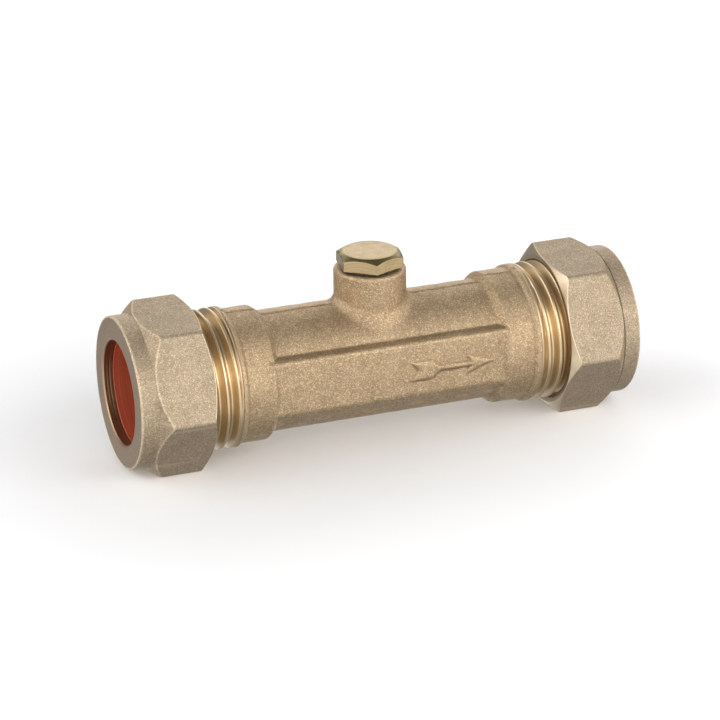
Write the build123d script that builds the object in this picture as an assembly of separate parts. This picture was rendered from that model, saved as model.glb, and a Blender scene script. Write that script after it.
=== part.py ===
from build123d import *
import os
from math import radians, sqrt, tan

# In-line double check valve for 15 mm copper pipe, with compression ends and a test plug.
# All sizes are in millimetres. The model is drawn about the crossing of the flow axis and the
# boss axis: X runs along the flow, Z runs up through the boss. export() then shifts every
# piece so that the origin is where the inlet pipe stops, on the flow axis.

# Overall and pipe sockets, as distances from the centre along X
HALF_LENGTH = 39.0
BODY_END = 33.0
PIPE_STOP = 23.5
SOCKET_RADIUS = 7.6
MOUTH_RADIUS = 8.85
MOUTH_DEPTH = 3.0

# G 1/2 parallel pipe thread on the body ends and in the nuts
THREAD_PITCH = 1.814
THREAD_CREST = 10.40
THREAD_ROOT = 9.30
NUT_THREAD_CREST = 9.42
NUT_THREAD_ROOT = 10.58
CREST_FLAT = 0.28
FLANK_SLOPE = 0.5206
THREAD_START = 22.9
THREAD_RUN_OUT = 0.2
THREAD_LEAD_CHAMFER = 1.2
THREAD_RIDGE_LENGTH = 14.0
INLET_THREAD_PHASE = 21.68
OUTLET_THREAD_PHASE = 21.43

# Forged body
TUBE_RADIUS = 8.95
COLLAR_RADIUS = 9.96
STEP_START = 16.7
STEP_END = 18.6
COLLAR_END = 22.3
FLARE_RADIUS = 10.40
FLARE_END = 23.9
FLARE_FALL = 0.5
PANEL_FACE = 9.4
PANEL_TOP = 4.75
PANEL_BOTTOM = -3.6
PANEL_HALF_LENGTH = 18.0
PANEL_EDGE_ROUND = 0.7
PANEL_SHOULDER_Y = 7.0
PANEL_SHOULDER_Z = 5.45
PANEL_FOOT_Y = 5.96
PANEL_FOOT_Z = -6.67
BOSS_RADIUS = 5.35
BOSS_TOP = 14.0
BOSS_FILLET = 1.2
BOSS_EDGE_ROUND = 0.45

# Flow arrow on the panels: stations along X, then half widths
ARROW_RELIEF = 0.3
ARROW_TAIL = 2.7
ARROW_NOTCH = 7.2
ARROW_NECK = 11.7
ARROW_TIP = 15.5
ARROW_FLETCH_SLANT = 1.2
ARROW_BARB_SLANT = 0.4
ARROW_SHAFT = 0.4
ARROW_FLETCH = 1.4
ARROW_HEAD = 1.2

# Bore for the two check cartridges
CARTRIDGE_BORE = 6.6
CARTRIDGE_SHOULDER = 8.0
CHAMBER_RADIUS = 5.5
CIRCLIP_GROOVE_RADIUS = 7.1
CIRCLIP_GROOVE_WIDTH = 0.9
CIRCLIP_GROOVE_FLOOR = 6.0
CIRCLIP_THICKNESS = 0.8
CIRCLIP_RING_WIDTH = 0.95
CIRCLIP_GAP = 3.2
CIRCLIP_LUG_RADIUS = 1.0
CIRCLIP_LUG_HOLE = 0.5
CIRCLIP_LUG_SIDE = 2.35
CIRCLIP_LUG_DROP = 5.45
END_PLAY = 0.05

# Compression nuts
NUT_BACK = 27.6
NUT_CIRCUMRADIUS = 13.14
NUT_VERTEX_RADIUS = 13.05
NUT_EDGE_ROUND = 0.9
NUT_VERTEX_ANGLE = 24.86
COLLAR_CHAMFER_RADIUS = 11.3
NUT_COLLAR_RADIUS = 11.22
NUT_COLLAR_START = 36.2
NUT_BACK_CHAMFER = 0.95
NUT_FRONT_CHAMFER = 1.55
NUT_RIM_CHAMFER = 0.45
NUT_SLEEVE_BORE = 10.75
NUT_RELIEF_BORE = 9.3
NUT_SEAT_RADIUS = 8.0
NUT_SEAT_DEPTH = 1.3
NUT_THREAD_END = 34.0
NUT_LIP_BORE = 7.72
NUT_LIP = 1.5

# Compression rings (olives)
OLIVE_WIDTH = 6.25
OLIVE_BORE = 7.575
OLIVE_RIM_RADIUS = 7.88
OLIVE_CROWN_RADIUS = 8.75
OLIVE_CROWN_HALF_WIDTH = 0.5
OLIVE_PLAY = 0.03

# Test plug and its seal, M6 x 1
PLUG_PITCH = 1.0
PLUG_CREST = 2.94
PLUG_ROOT = 2.36
PORT_CREST = 2.48
PORT_ROOT = 3.06
PLUG_CREST_FLAT = 0.14
PLUG_TIP = 9.0
PLUG_THREAD_LENGTH = 4.4
PORT_TAP_DEPTH = 6.2
TEST_DRILL = 1.5
PLUG_HEAD_BOTTOM = 14.36
PLUG_HEAD_TOP = 16.48
PLUG_ACROSS_FLATS = 9.0
PLUG_TOP_RADIUS = 4.0
PLUG_VERTEX_ANGLE = 21.36
PLUG_SEAL_RADIUS = 4.3
PLUG_SEAL_PLAY = 0.01

# Check cartridges, as distances from the upstream face of the cartridge
CARTRIDGE_LENGTH = 12.4
HOUSING_RADIUS = 6.5
SEAT_RADIUS = 4.0
SEAT_DEPTH = 2.6
HOUSING_BORE = 5.5
GUIDE_BORE = 5.7
GUIDE_SEAT = 10.38
LIP_BORE = 5.55
LIP_START = 12.15
ORING_START = 0.9
ORING_SECTION = 0.74
ORING_GROOVE_WIDTH = 1.8
ORING_GROOVE_RADIUS = 5.1
POPPET_NOSE = 1.3
POPPET_NOSE_RADIUS = 1.6
POPPET_COLLAR_START = 1.9
POPPET_COLLAR_END = 2.43
POPPET_COLLAR_RADIUS = 3.6
POPPET_NECK_RADIUS = 3.28
POPPET_DISC_START = 3.22
POPPET_BACK = 4.4
POPPET_DISC_RADIUS = 4.5
STEM_RADIUS = 1.2
STEM_END = 11.6
STEM_CHAMFER = 0.3
SEAL_PLAY = 0.02
SEAL_FRONT_RADIUS = 3.8
SEAL_BACK_RADIUS = 4.55
GUIDE_RING_BORE = 4.9
GUIDE_PLAY = 0.02
SPOKE_WIDTH = 1.2
SPOKE_LENGTH = 5.2
SPOKE_INSET = 0.2
HUB_START = 8.8
HUB_RADIUS = 2.5
HUB_BORE = 1.28
SPRING_WIRE = 0.35
SPRING_RADIUS = 1.95
SPRING_TURNS = 4.5
SPRING_PLAY = 0.02

STANDING = (Align.CENTER, Align.CENTER, Align.MIN)


def turned(*points):
    """The solid swept by a closed outline of (x, radius) points turned about the flow axis."""
    return revolve(make_face(Polyline(*points, close=True)), Axis.X)


def helical_ridge(pitch, base, tip, tip_width, start, length):
    """A right-hand thread ridge along +Z whose centre line leaves +X at height start."""
    base_width = tip_width + 2 * abs(tip - base) * FLANK_SLOPE
    corners = [(base, -base_width), (tip, -tip_width), (tip, tip_width), (base, base_width)]
    edges = []
    for radius, width in corners:
        line = Pos(Z=start + width / 2) * Helix(pitch, length, radius)
        edges.append(line.edges()[0])
    faces = []
    for i, edge in enumerate(edges):
        faces.append(Face.make_surface_from_curves(edge, edges[(i + 1) % len(edges)]))
    for end in (0, 1):
        faces.append(Face(Wire.make_polygon([edge @ end for edge in edges], close=True)))
    return Solid(Shell(faces))


def facing_outlet(shape):
    """Turns a shape drawn along +Z so that it lies along +X."""
    return Rot(Y=90) * shape


def facing_inlet(shape):
    """Turns a shape drawn on the outlet side round to the inlet side, keeping its hand."""
    return Rot(Z=180) * shape


def body_outline():
    """Half outline of the forging, from the middle to the outlet end, above the flow axis."""
    mid_step = ((STEP_START + STEP_END) / 2, (TUBE_RADIUS + COLLAR_RADIUS) / 2)
    line = Line((0, TUBE_RADIUS), (STEP_START, TUBE_RADIUS))
    line += TangentArc((STEP_START, TUBE_RADIUS), mid_step, tangent=(1, 0))
    line += TangentArc((STEP_END, COLLAR_RADIUS), mid_step, tangent=(-1, 0))
    line += Line((STEP_END, COLLAR_RADIUS), (COLLAR_END, COLLAR_RADIUS))
    line += TangentArc((COLLAR_END, COLLAR_RADIUS), (THREAD_START, FLARE_RADIUS), tangent=(1, 0))
    line += Polyline(
        (THREAD_START, FLARE_RADIUS),
        (FLARE_END - FLARE_FALL, FLARE_RADIUS),
        (FLARE_END, THREAD_ROOT - THREAD_RUN_OUT),
        (FLARE_END, 0),
        (0, 0),
        (0, TUBE_RADIUS),
    )
    return line


def panel(side):
    """One raised flat panel along the tube, side -1 at the front and +1 at the back."""
    corners = [
        (PANEL_SHOULDER_Y, PANEL_SHOULDER_Z),
        (PANEL_FACE, PANEL_TOP),
        (PANEL_FACE, PANEL_BOTTOM),
        (PANEL_FOOT_Y, PANEL_FOOT_Z),
        (BOSS_RADIUS / 2, 0),
    ]
    outline = make_face(Polyline(*[(side * y, z) for y, z in corners], close=True))
    face_corners = [v for v in outline.vertices() if abs(abs(v.X) - PANEL_FACE) < 1e-6]
    outline = fillet(face_corners, PANEL_EDGE_ROUND)
    bar = extrude(outline, PANEL_HALF_LENGTH, both=True)
    return Plane.YZ.location * bar


def flow_arrow(side):
    """A plain raised arrow on the panel that shows the flow direction, +X."""
    upper = [
        (ARROW_TAIL, ARROW_FLETCH),
        (ARROW_NOTCH - ARROW_FLETCH_SLANT, ARROW_FLETCH),
        (ARROW_NOTCH, ARROW_SHAFT),
        (ARROW_NECK, ARROW_SHAFT),
        (ARROW_NECK - ARROW_BARB_SLANT, ARROW_HEAD),
    ]
    lower = [(x, -z) for x, z in reversed(upper)]
    outline = [*upper, (ARROW_TIP, 0), *lower, (ARROW_TAIL + ARROW_FLETCH_SLANT, 0)]
    thickness = 2 * ARROW_RELIEF
    wall = extrude(make_face(Polyline(*outline, close=True)), thickness / 2, both=True)
    return Pos(Y=side * PANEL_FACE) * (Rot(X=90) * wall)


def threaded_end(phase):
    """One body end with its external G 1/2 thread, drawn on the outlet side."""
    core = Pos(Z=COLLAR_END) * Cylinder(THREAD_ROOT, BODY_END - COLLAR_END + 2, align=STANDING)
    overlap = 0.15
    ridge = helical_ridge(
        THREAD_PITCH, THREAD_ROOT - overlap, THREAD_CREST, CREST_FLAT, phase, THREAD_RIDGE_LENGTH
    )
    wide = THREAD_CREST + 0.1
    limits = turned(
        (THREAD_START + THREAD_RUN_OUT, 0),
        (THREAD_START + THREAD_RUN_OUT, wide),
        (BODY_END - THREAD_LEAD_CHAMFER, wide),
        (BODY_END, THREAD_ROOT - 0.1),
        (BODY_END, 0),
    )
    return facing_outlet(core + ridge) & limits


def body_bore():
    """Everything that is bored out along the flow axis."""
    half = [
        (0, 0),
        (0, CHAMBER_RADIUS),
        (CARTRIDGE_SHOULDER, CHAMBER_RADIUS),
        (CARTRIDGE_SHOULDER, CARTRIDGE_BORE),
        (PIPE_STOP, CARTRIDGE_BORE),
        (PIPE_STOP, SOCKET_RADIUS),
        (BODY_END - MOUTH_DEPTH, SOCKET_RADIUS),
        (BODY_END, MOUTH_RADIUS),
        (BODY_END + 1, MOUTH_RADIUS),
        (BODY_END + 1, 0),
    ]
    groove_start = CARTRIDGE_SHOULDER + CARTRIDGE_LENGTH + END_PLAY
    groove_end = groove_start + CIRCLIP_GROOVE_WIDTH
    groove = turned(
        (groove_start, CIRCLIP_GROOVE_FLOOR),
        (groove_start, CIRCLIP_GROOVE_RADIUS),
        (groove_end, CIRCLIP_GROOVE_RADIUS),
        (groove_end, CIRCLIP_GROOVE_FLOOR),
    )
    one_side = turned(*half) + groove
    return one_side + facing_inlet(one_side)


def test_port():
    """The tapped hole in the boss and its drilling into the middle chamber."""
    tap_bottom = BOSS_TOP - PORT_TAP_DEPTH
    hole = Pos(Z=tap_bottom) * Cylinder(PORT_ROOT, PORT_TAP_DEPTH + 1, align=STANDING)
    drill = Cylinder(TEST_DRILL, BOSS_TOP, align=STANDING)
    return hole + drill


def port_thread():
    """The internal M6 thread of the boss."""
    tap_bottom = BOSS_TOP - PORT_TAP_DEPTH
    start = tap_bottom - PLUG_PITCH
    overlap = 0.12
    ridge = helical_ridge(
        PLUG_PITCH, PORT_ROOT + overlap, PORT_CREST, PLUG_CREST_FLAT, start, PORT_TAP_DEPTH + 1
    )
    bottom_run_out = 0.3
    top_countersink = 0.5
    height = PORT_TAP_DEPTH - bottom_run_out - top_countersink
    limits = Pos(Z=tap_bottom + bottom_run_out) * Cylinder(BOSS_RADIUS - 1, height, align=STANDING)
    return ridge & limits


def valve_body():
    half = revolve(make_face(body_outline()), Axis.X)
    body = half + facing_inlet(half)
    boss = Cylinder(BOSS_RADIUS, BOSS_TOP, align=STANDING)
    boss = fillet(boss.edges().sort_by(Axis.Z)[-1], BOSS_EDGE_ROUND)
    joined = body + panel(-1) + panel(1) + boss
    foot = (sqrt(TUBE_RADIUS**2 - BOSS_RADIUS**2), TUBE_RADIUS)
    centres = [(edge, edge.center()) for edge in joined.edges()]
    base_edges = [
        edge
        for edge, centre in centres
        if foot[0] - 0.1 < centre.Z < foot[1] + 0.1 and sqrt(centre.X**2 + centre.Y**2) < BOSS_RADIUS + 0.2
    ]
    joined = fillet(base_edges, BOSS_FILLET)
    joined = joined + flow_arrow(-1) + flow_arrow(1)
    joined = joined + threaded_end(OUTLET_THREAD_PHASE)
    joined = joined + facing_inlet(threaded_end(INLET_THREAD_PHASE))
    joined = joined - body_bore() - test_port()
    return joined + port_thread()


def compression_nut(phase, vertex_angle):
    """A nut drawn on the outlet side, its hexagon turned about X by vertex_angle."""
    corners = RegularPolygon(NUT_CIRCUMRADIUS, 6, rotation=0)
    prism = extrude(fillet(corners.vertices(), NUT_EDGE_ROUND), HALF_LENGTH - NUT_BACK)
    prism = Pos(X=NUT_BACK) * (Rot(X=vertex_angle) * (Rot(Y=90) * prism))
    widest = NUT_VERTEX_RADIUS + 0.02
    envelope = turned(
        (NUT_BACK, 0),
        (NUT_BACK, COLLAR_CHAMFER_RADIUS),
        (NUT_BACK + NUT_BACK_CHAMFER, widest),
        (NUT_COLLAR_START - NUT_FRONT_CHAMFER, widest),
        (NUT_COLLAR_START, COLLAR_CHAMFER_RADIUS),
        (NUT_COLLAR_START, NUT_COLLAR_RADIUS),
        (HALF_LENGTH - NUT_RIM_CHAMFER, NUT_COLLAR_RADIUS),
        (HALF_LENGTH, NUT_COLLAR_RADIUS - NUT_RIM_CHAMFER),
        (HALF_LENGTH, 0),
    )
    lip_start = HALF_LENGTH - NUT_LIP
    hole = turned(
        (NUT_BACK - 1, 0),
        (NUT_BACK - 1, NUT_SLEEVE_BORE),
        (NUT_THREAD_END, NUT_SLEEVE_BORE),
        (NUT_THREAD_END, NUT_RELIEF_BORE),
        (lip_start - NUT_SEAT_DEPTH, NUT_RELIEF_BORE),
        (lip_start, NUT_SEAT_RADIUS),
        (lip_start, NUT_LIP_BORE),
        (HALF_LENGTH + 1, NUT_LIP_BORE),
        (HALF_LENGTH + 1, 0),
    )
    return (prism & envelope) - hole + nut_thread(phase)


def nut_thread(phase):
    """The inner wall of a nut with its internal G 1/2 thread, drawn on the outlet side."""
    overlap = 0.15
    length = NUT_THREAD_END - NUT_BACK + 4
    middle = (NUT_THREAD_END + NUT_BACK) / 2
    wall = Cylinder(NUT_SLEEVE_BORE + 0.4, length) - Cylinder(NUT_THREAD_ROOT, length + 2)
    ridge = helical_ridge(
        THREAD_PITCH, NUT_THREAD_ROOT + overlap, NUT_THREAD_CREST, CREST_FLAT, phase, THREAD_RIDGE_LENGTH
    )
    outer = NUT_SLEEVE_BORE + 0.12
    inner = NUT_THREAD_CREST - 0.1
    far_run_out = 0.7
    mouth_chamfer = 0.9
    limits = turned(
        (NUT_BACK, NUT_THREAD_ROOT + 0.1),
        (NUT_BACK, outer),
        (NUT_THREAD_END + 0.1, outer),
        (NUT_THREAD_END + 0.1, NUT_THREAD_ROOT - overlap),
        (NUT_THREAD_END - far_run_out, inner),
        (NUT_BACK + mouth_chamfer, inner),
    )
    return facing_outlet(Pos(Z=middle) * wall + ridge) & limits


def olive():
    """A barrel-shaped compression ring, drawn on the outlet side."""
    front = HALF_LENGTH - NUT_LIP - OLIVE_PLAY
    back = front - OLIVE_WIDTH
    middle = (front + back) / 2
    return turned(
        (back, OLIVE_BORE),
        (back, OLIVE_RIM_RADIUS),
        (middle - OLIVE_CROWN_HALF_WIDTH, OLIVE_CROWN_RADIUS),
        (middle + OLIVE_CROWN_HALF_WIDTH, OLIVE_CROWN_RADIUS),
        (front, OLIVE_RIM_RADIUS),
        (front, OLIVE_BORE),
    )


def test_plug():
    head_height = PLUG_HEAD_TOP - PLUG_HEAD_BOTTOM
    hexagon = Rot(Z=PLUG_VERTEX_ANGLE) * RegularPolygon(PLUG_ACROSS_FLATS / 2, 6, major_radius=False)
    head = Pos(Z=PLUG_HEAD_BOTTOM) * extrude(hexagon, head_height)
    wide = PLUG_ACROSS_FLATS
    outline = Polyline(
        (0, PLUG_HEAD_BOTTOM - wide),
        (wide, PLUG_HEAD_BOTTOM - wide),
        (wide, PLUG_HEAD_TOP - (wide - PLUG_TOP_RADIUS) * tan(radians(30))),
        (PLUG_TOP_RADIUS, PLUG_HEAD_TOP),
        (0, PLUG_HEAD_TOP),
        close=True,
    )
    head = head & revolve(Plane.XZ * make_face(outline), Axis.Z)
    overlap = 0.1
    shank_length = PLUG_HEAD_BOTTOM - PLUG_TIP + overlap
    shank = Pos(Z=PLUG_TIP) * Cylinder(PLUG_ROOT, shank_length, align=STANDING)
    start = BOSS_TOP - PORT_TAP_DEPTH - PLUG_PITCH / 2
    ridge_length = 8
    ridge = helical_ridge(PLUG_PITCH, PLUG_ROOT - overlap, PLUG_CREST, PLUG_CREST_FLAT, start, ridge_length)
    tip_run_out = 0.2
    limits = Pos(Z=PLUG_TIP + tip_run_out) * Cylinder(PLUG_SEAL_RADIUS, PLUG_THREAD_LENGTH, align=STANDING)
    return head + shank + (ridge & limits)


def test_plug_seal():
    thickness = PLUG_HEAD_BOTTOM - BOSS_TOP - 2 * PLUG_SEAL_PLAY
    ring = Cylinder(PLUG_SEAL_RADIUS, thickness) - Cylinder(PLUG_CREST + 0.1, thickness + 1)
    return Pos(Z=(PLUG_HEAD_BOTTOM + BOSS_TOP) / 2) * ring


def check_housing():
    seat_end = SEAT_DEPTH + HOUSING_BORE - SEAT_RADIUS
    shell = turned(
        (0, SEAT_RADIUS),
        (0, HOUSING_RADIUS),
        (ORING_START, HOUSING_RADIUS),
        (ORING_START, ORING_GROOVE_RADIUS),
        (ORING_START + ORING_GROOVE_WIDTH, ORING_GROOVE_RADIUS),
        (ORING_START + ORING_GROOVE_WIDTH, HOUSING_RADIUS),
        (CARTRIDGE_LENGTH, HOUSING_RADIUS),
        (CARTRIDGE_LENGTH, LIP_BORE),
        (LIP_START, LIP_BORE),
        (LIP_START, GUIDE_BORE),
        (GUIDE_SEAT, GUIDE_BORE),
        (GUIDE_SEAT, HOUSING_BORE),
        (seat_end, HOUSING_BORE),
        (SEAT_DEPTH, SEAT_RADIUS),
    )
    return shell


def check_oring():
    centre = ORING_START + ORING_GROOVE_WIDTH / 2
    return Pos(X=centre) * (Rot(Y=90) * Torus((CARTRIDGE_BORE + ORING_GROOVE_RADIUS) / 2, ORING_SECTION))


def check_poppet():
    return turned(
        (POPPET_NOSE, 0),
        (POPPET_NOSE, POPPET_NOSE_RADIUS),
        (POPPET_COLLAR_START, POPPET_COLLAR_RADIUS),
        (POPPET_COLLAR_END, POPPET_COLLAR_RADIUS),
        (POPPET_COLLAR_END, POPPET_NECK_RADIUS),
        (POPPET_DISC_START, POPPET_NECK_RADIUS),
        (POPPET_DISC_START, POPPET_DISC_RADIUS),
        (POPPET_BACK, POPPET_DISC_RADIUS),
        (POPPET_BACK, STEM_RADIUS),
        (STEM_END - STEM_CHAMFER, STEM_RADIUS),
        (STEM_END, STEM_RADIUS - STEM_CHAMFER),
        (STEM_END, 0),
    )


def poppet_seal():
    front = POPPET_COLLAR_END + SEAL_PLAY
    back = POPPET_DISC_START - SEAL_PLAY
    bore = POPPET_NECK_RADIUS + SEAL_PLAY
    return turned((front, bore), (front, SEAL_FRONT_RADIUS), (back, SEAL_BACK_RADIUS), (back, bore))


def check_guide():
    front = GUIDE_SEAT + GUIDE_PLAY
    back = LIP_START - GUIDE_PLAY
    outer = GUIDE_BORE - GUIDE_PLAY
    ring = turned((front, GUIDE_RING_BORE), (front, outer), (back, outer), (back, GUIDE_RING_BORE))
    hub = turned((HUB_START, 0), (HUB_START, HUB_RADIUS), (LIP_START, HUB_RADIUS), (LIP_START, 0))
    spokes = Part()
    depth = LIP_START - GUIDE_SEAT - 2 * SPOKE_INSET
    for angle in (0, 120, 240):
        spoke = Box(depth, SPOKE_WIDTH, SPOKE_LENGTH, align=(Align.MIN, Align.CENTER, Align.MIN))
        spokes += Rot(X=angle) * (Pos(X=GUIDE_SEAT + SPOKE_INSET) * spoke)
    bore = Pos(X=HUB_START) * (Rot(Y=90) * Cylinder(HUB_BORE, CARTRIDGE_LENGTH))
    return ring + hub + spokes - bore


def check_spring():
    height = HUB_START - POPPET_BACK - SPRING_WIRE - 2 * SPRING_PLAY
    path = Helix(height / SPRING_TURNS, height, SPRING_RADIUS)
    section = Plane(origin=path @ 0, z_dir=path % 0) * Circle(SPRING_WIRE / 2)
    coil = sweep(section, path=path, is_frenet=True)
    return Pos(X=POPPET_BACK + SPRING_WIRE / 2 + SPRING_PLAY) * (Rot(Y=90) * coil)


def circlip():
    """An internal retaining ring with two drilled lugs, drawn from its cartridge side."""
    outer = CIRCLIP_GROOVE_RADIUS - END_PLAY
    through = CIRCLIP_THICKNESS + 1
    ring = Cylinder(outer, CIRCLIP_THICKNESS) - Cylinder(outer - CIRCLIP_RING_WIDTH, through)
    ring -= Pos(Y=-outer) * Box(CIRCLIP_GAP, 4, through)
    for side in (-1, 1):
        lug = Cylinder(CIRCLIP_LUG_RADIUS, CIRCLIP_THICKNESS) - Cylinder(CIRCLIP_LUG_HOLE, through)
        ring += Pos(side * CIRCLIP_LUG_SIDE, -CIRCLIP_LUG_DROP) * lug
    middle = CARTRIDGE_LENGTH + END_PLAY + CIRCLIP_GROOVE_WIDTH / 2
    return Pos(X=middle) * (Rot(Y=90) * ring)


def cartridge_nodes(name, upstream_face, circlip_side):
    """The pieces of one check cartridge, with its upstream face at upstream_face along X."""
    ring = circlip()
    if circlip_side < 0:
        ring = Pos(X=CARTRIDGE_LENGTH) * (Rot(Z=180) * ring)
    pieces = {
        "check_housing": check_housing(),
        "check_oring": check_oring(),
        "check_poppet": check_poppet(),
        "poppet_seal": poppet_seal(),
        "check_guide": check_guide(),
        "check_spring": check_spring(),
        "circlip": ring,
    }
    return {f"{name}_{piece}": Pos(X=upstream_face) * shape for piece, shape in pieces.items()}


def nodes():
    half_pitch = THREAD_PITCH / 2
    made = {
        "valve_body": valve_body(),
        "inlet_nut": facing_inlet(compression_nut(INLET_THREAD_PHASE + half_pitch, NUT_VERTEX_ANGLE)),
        "outlet_nut": compression_nut(OUTLET_THREAD_PHASE + half_pitch, -NUT_VERTEX_ANGLE),
        "inlet_olive": facing_inlet(olive()),
        "outlet_olive": olive(),
        "test_plug": test_plug(),
        "test_plug_seal": test_plug_seal(),
    }
    made.update(cartridge_nodes("inlet", -CARTRIDGE_SHOULDER - CARTRIDGE_LENGTH, -1))
    made.update(cartridge_nodes("outlet", CARTRIDGE_SHOULDER, 1))
    return made


def export(shapes):
    os.makedirs("parts", exist_ok=True)
    for name, shape in shapes.items():
        export_step(Pos(X=PIPE_STOP) * shape, f"parts/{name}.step")


export(nodes())
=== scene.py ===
from math import cos, pi, radians, sin, tan

import bmesh
import bpy
import numpy as np
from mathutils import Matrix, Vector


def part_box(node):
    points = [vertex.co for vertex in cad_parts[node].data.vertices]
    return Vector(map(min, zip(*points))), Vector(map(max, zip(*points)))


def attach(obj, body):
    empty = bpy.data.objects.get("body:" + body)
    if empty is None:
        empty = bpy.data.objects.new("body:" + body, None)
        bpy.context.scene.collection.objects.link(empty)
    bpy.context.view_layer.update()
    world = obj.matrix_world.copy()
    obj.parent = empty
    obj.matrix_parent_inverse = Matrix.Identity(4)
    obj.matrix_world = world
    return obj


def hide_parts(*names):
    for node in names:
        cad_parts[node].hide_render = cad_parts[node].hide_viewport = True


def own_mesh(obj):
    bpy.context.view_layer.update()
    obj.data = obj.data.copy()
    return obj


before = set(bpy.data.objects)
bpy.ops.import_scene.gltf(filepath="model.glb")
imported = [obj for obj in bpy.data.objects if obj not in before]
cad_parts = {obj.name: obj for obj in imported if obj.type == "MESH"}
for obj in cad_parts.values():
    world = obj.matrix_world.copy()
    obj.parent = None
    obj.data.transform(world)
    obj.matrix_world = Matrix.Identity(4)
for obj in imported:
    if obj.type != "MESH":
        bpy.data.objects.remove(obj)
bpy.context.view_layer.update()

import openvdb as vdb
from mathutils import Matrix, Vector

# An in-line double check valve. Shapes are worked out in millimetres about the crossing of the
# flow axis (X) and the boss axis (Z), and are put into the frame in metres by in_frame().
# u is the distance outwards from the centre along the flow axis, rho the distance from an axis.

MM = 0.001
BODY_LOW, BODY_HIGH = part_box("valve_body")
CENTRE_X = (BODY_LOW.x + BODY_HIGH.x) / 2


def outwards(node):
    """Where an outlet-side node starts and ends, as distances from the centre in millimetres."""
    low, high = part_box(node)
    return (low.x - CENTRE_X) / MM, (high.x - CENTRE_X) / MM


# Sizes read from the frame
BODY_END = (BODY_HIGH.x - CENTRE_X) / MM
BOSS_TOP = BODY_HIGH.z / MM
NUT_BACK, NUT_FRONT = outwards("outlet_nut")
OLIVE_BACK, OLIVE_FRONT = outwards("outlet_olive")
OLIVE_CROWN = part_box("outlet_olive")[1].z / MM
SEAL_LOW, SEAL_HIGH = (corner.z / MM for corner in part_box("test_plug_seal"))
SEAL_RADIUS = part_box("test_plug_seal")[1].y / MM
PLUG_TIP, PLUG_TOP = (corner.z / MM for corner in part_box("test_plug"))
FLOOR_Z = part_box("outlet_nut")[0].z

# Forging
TUBE_RADIUS = 8.95
COLLAR_RADIUS = 9.96
STEP_START, STEP_END = 17.0, 18.4
COLLAR_END, FLARE_START = 22.3, 22.9
FLARE_RADIUS = 10.40
FORGING_END = 23.35
PANEL_FACE = 9.4
PANEL_CROWN = 0.009
PANEL_TOP, PANEL_BOTTOM = 4.75, -3.6
PANEL_SHOULDER = (7.0, 4.9)
PANEL_FOOT = (5.96, -6.67)
PANEL_INSIDE = (3.0, 0.0)
PANEL_ENDS = (-19.0, 18.4)
PANEL_TOP_ROUND, PANEL_FOOT_ROUND, PANEL_END_ROUND = 0.6, 0.45, 0.25
PANEL_FILLET = 0.22
BOSS_RADIUS = 5.35
BOSS_RIM_ROUND = 0.45
BOSS_FILLET = 1.3
ARROW_RELIEF = 0.46
ARROW_HEIGHT = 0.35
ARROW_MARGIN = 0.22
ARROW_ROUND, ARROW_FILLET = 0.8, 0.06
ARROW_ROOT = 8.5
SWELL_DEPTH = 0.02
SWELL_TOP = BOSS_TOP - 0.3
FLASH_HEIGHT = 0.16
FLASH_WIDTH = 0.12
FLASH_WANDER = 0.12
FLASH_TOP = BOSS_TOP - 0.6

# Bores
PIPE_STOP = 23.5
SOCKET_RADIUS = 7.6
MOUTH_RADIUS = 8.85
MOUTH_DEPTH = 3.0
CARTRIDGE_BORE, CARTRIDGE_SHOULDER = 6.6, 8.0
CHAMBER_RADIUS = 5.5
CIRCLIP_GROOVE = (20.45, 21.35)
CIRCLIP_GROOVE_RADIUS = 7.1
PORT_RADIUS, PORT_BOTTOM = 3.06, 7.8
TEST_DRILL = 1.5
LINER_START, LINER_GAP = COLLAR_END + 0.45, 0.2
PORT_GAP = 0.1

# G 1/2 thread of the ends and nuts
PITCH = 1.814
CREST, ROOT = 10.40, 9.30
NUT_CREST, NUT_ROOT = 9.42, 10.58
THREAD_ROUND, NUT_THREAD_ROUND = 0.16, 0.15
LEAD_LENGTH = 1.2
FLANK = radians(27.5)
PHASES = {"inlet": 21.68, "outlet": 21.43}
SHOULDER_START, SHOULDER_TOP_END = 23.4, 23.6
SHOULDER_END = {"inlet": 24.2, "outlet": 25.1}

# Compression nuts
NUT_APOTHEM = 11.38
NUT_EDGE_ROUND = 0.9
NUT_ENVELOPE = 13.04
NUT_COLLAR_RADIUS = 11.22
NUT_COLLAR_START = 36.4
NUT_BACK_CHAMFER, NUT_FRONT_CHAMFER = 0.95, 1.65
NUT_RIM = 0.3
NUT_CORNER_CUTS = [0.05, 0.08, 0.17, 0.16, NUT_RIM]
NUT_MOUTH_CHAMFER = 0.9
NUT_SHOULDER_RADIUS = 11.3
NUT_LIP = 1.5
NUT_LIP_BORE = 7.72
NUT_LIP_GROOVES = ((0.95, 0.02), (0.5, 0.03))
NUT_LIP_GROOVE_WIDTH = 0.08
NUT_RELIEF_BORE, NUT_SEAT_RADIUS, NUT_SEAT_DEPTH = 9.3, 8.0, 1.3
NUT_THREAD_END = 34.0
NUT_RUN_OUT = 0.7
NUT_VERTEX_ANGLE = {"inlet": radians(24.86), "outlet": radians(-24.86)}

# Test plug, M6 x 1
PLUG_PITCH = 1.0
PLUG_CREST, PLUG_ROOT = 2.94, 2.36
PORT_CREST = 2.48
PLUG_HEAD_BOTTOM = 14.36
PLUG_APOTHEM = 4.5
PLUG_TOP_RADIUS = 4.0
PLUG_CHAMFER = radians(30)
PLUG_THREAD_LENGTH = 4.6
PLUG_THREAD_ROUND = 0.08
PLUG_LEAD = 1.2
PLUG_VERTEX_ANGLE = radians(21.36)

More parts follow.
